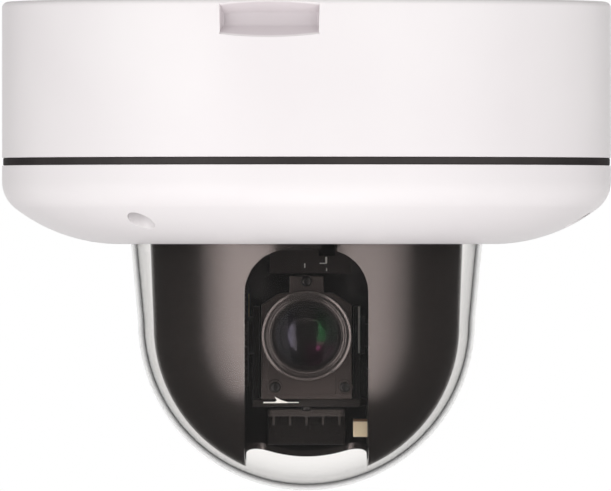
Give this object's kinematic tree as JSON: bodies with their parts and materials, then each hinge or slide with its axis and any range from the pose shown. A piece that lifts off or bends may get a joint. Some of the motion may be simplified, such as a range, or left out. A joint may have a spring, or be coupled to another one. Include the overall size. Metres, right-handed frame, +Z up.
{
  "type": "ptz camera",
  "caption": "Ceiling-mount mini dome camera with a white base and cover, clear dome, slotted black liner and a motorised zoom lens that pans without end and tilts.",
  "frame": {"origin": "centre of the ceiling face, on the pan axis", "axes": "+Z up out of the ceiling face, the lens looks along -Y at rest, the tilt axis lies along +X"},
  "size_m": [0.16, 0.16, 0.1283],
  "materials": {
    "white_paint": "satin",
    "black_rubber": "matte",
    "clear_dome": "clear gloss",
    "black_gloss": "semi-gloss",
    "black_plastic": "matte",
    "graphite_plastic": "satin",
    "lens_glass": "coated",
    "zinc_steel": "zinc plated",
    "polished_steel": "polished",
    "aluminium": "satin",
    "brass": "satin",
    "gear_plastic": "natural",
    "green_board": "solder mask",
    "green_plastic": "moulded",
    "cream_plastic": "moulded",
    "sensor_ceramic": "glazed"
  },
  "bodies": {
    "base": {"base_housing": "white_paint", "housing_gasket": "black_rubber", "dome_cover": "white_paint", "cover_screws": "zinc_steel", "dome_bubble": "clear_dome", "dome_seal": "black_rubber", "dome_retainer": "zinc_steel", "m3_screws": "zinc_steel", "main_board": "green_board", "board_standoffs": "brass", "network_jack": "zinc_steel", "power_terminal": "green_plastic", "processor_chip": "black_plastic", "processor_heatsink": "aluminium", "capacitors": "aluminium", "cable_socket": "cream_plastic", "chassis_plate": "zinc_steel", "pan_motor": "zinc_steel", "m2_screws": "zinc_steel", "pan_bearing_outer_race": "polished_steel", "slip_ring_stator": "black_plastic", "slip_ring_cable": "black_plastic"},
    "pan_drive_pinion": {"pan_pinion": "brass"},
    "bearing_cage": {"pan_bearing_balls": "polished_steel", "pan_bearing_cage": "brass"},
    "pan_head": {"pan_hub": "aluminium", "pan_bearing_inner_race": "polished_steel", "hub_nut": "aluminium", "pan_gear": "gear_plastic", "turntable": "black_plastic", "pan_bolts": "zinc_steel", "slip_ring_rotor": "black_plastic", "tilt_yoke": "zinc_steel", "tilt_bushes": "brass", "tilt_motor": "zinc_steel", "inner_liner": "black_gloss"},
    "tilt_drive_pinion": {"tilt_pinion": "brass"},
    "camera": {"camera_cradle": "graphite_plastic", "tilt_gear": "gear_plastic", "lens_housing": "black_plastic", "lens_front_plate": "graphite_plastic", "lens_screws": "zinc_steel", "lens_front_ring": "graphite_plastic", "front_lens": "lens_glass", "guide_rods": "polished_steel", "lens_rear_plate": "aluminium", "lens_motors": "zinc_steel", "sensor_board": "green_board", "image_sensor": "sensor_ceramic", "ribbed_bracket": "black_plastic", "side_board": "green_board", "board_connector": "cream_plastic"},
    "zoom_group": {"zoom_carrier": "black_plastic", "zoom_lens": "lens_glass"},
    "zoom_drive": {"zoom_screw": "polished_steel"},
    "focus_group": {"focus_carrier": "black_plastic", "focus_lens": "lens_glass"},
    "focus_drive": {"focus_screw": "polished_steel"},
    "filter": {"filter_slide": "black_plastic", "filter_glasses": "lens_glass"}
  },
  "joints": [
    {"name": "pan", "type": "hinge", "parent": "base", "child": "pan_head", "pos_m": [0, 0, -0.0355], "axis": [0, 0, 1], "continuous": true},
    {"name": "pan_pinion_spin", "type": "hinge", "parent": "base", "child": "pan_drive_pinion", "pos_m": [0, 0.0345, -0.044], "axis": [0, 0, 1], "continuous": true},
    {"name": "bearing_roll", "type": "hinge", "parent": "base", "child": "bearing_cage", "pos_m": [0, 0, -0.0355], "axis": [0, 0, 1], "continuous": true},
    {"name": "tilt", "type": "hinge", "parent": "pan_head", "child": "camera", "pos_m": [0, 0, -0.0875], "axis": [1, 0, 0], "range_deg": [0, 90]},
    {"name": "tilt_pinion_spin", "type": "hinge", "parent": "pan_head", "child": "tilt_drive_pinion", "pos_m": [0, 0.01413, -0.07999], "axis": [1, 0, 0], "range_deg": [-390, 0]},
    {"name": "zoom", "type": "slide", "parent": "camera", "child": "zoom_group", "axis": [0, 1, 0], "range_m": [0, 0.009]},
    {"name": "zoom_screw_spin", "type": "hinge", "parent": "camera", "child": "zoom_drive", "pos_m": [-0.0055, 0, -0.0985], "axis": [0, 1, 0], "range_deg": [0, 2160]},
    {"name": "focus", "type": "slide", "parent": "camera", "child": "focus_group", "axis": [0, 1, 0], "range_m": [-0.002, 0.002]},
    {"name": "focus_screw_spin", "type": "hinge", "parent": "camera", "child": "focus_drive", "pos_m": [0.0055, 0, -0.0985], "axis": [0, 1, 0], "range_deg": [-480, 480]},
    {"name": "filter_shift", "type": "slide", "parent": "camera", "child": "filter", "axis": [1, 0, 0], "range_m": [0, 0.006]}
  ],
  "couplings": [
    {"joint": "pan_pinion_spin", "follows": "pan", "ratio": -6.6667},
    {"joint": "bearing_roll", "follows": "pan", "ratio": 0.44722},
    {"joint": "tilt_pinion_spin", "follows": "tilt", "ratio": -4.3333},
    {"joint": "zoom_screw_spin", "follows": "zoom", "rad_per_m": 4188.8},
    {"joint": "focus_screw_spin", "follows": "focus", "rad_per_m": 4188.8}
  ]
}
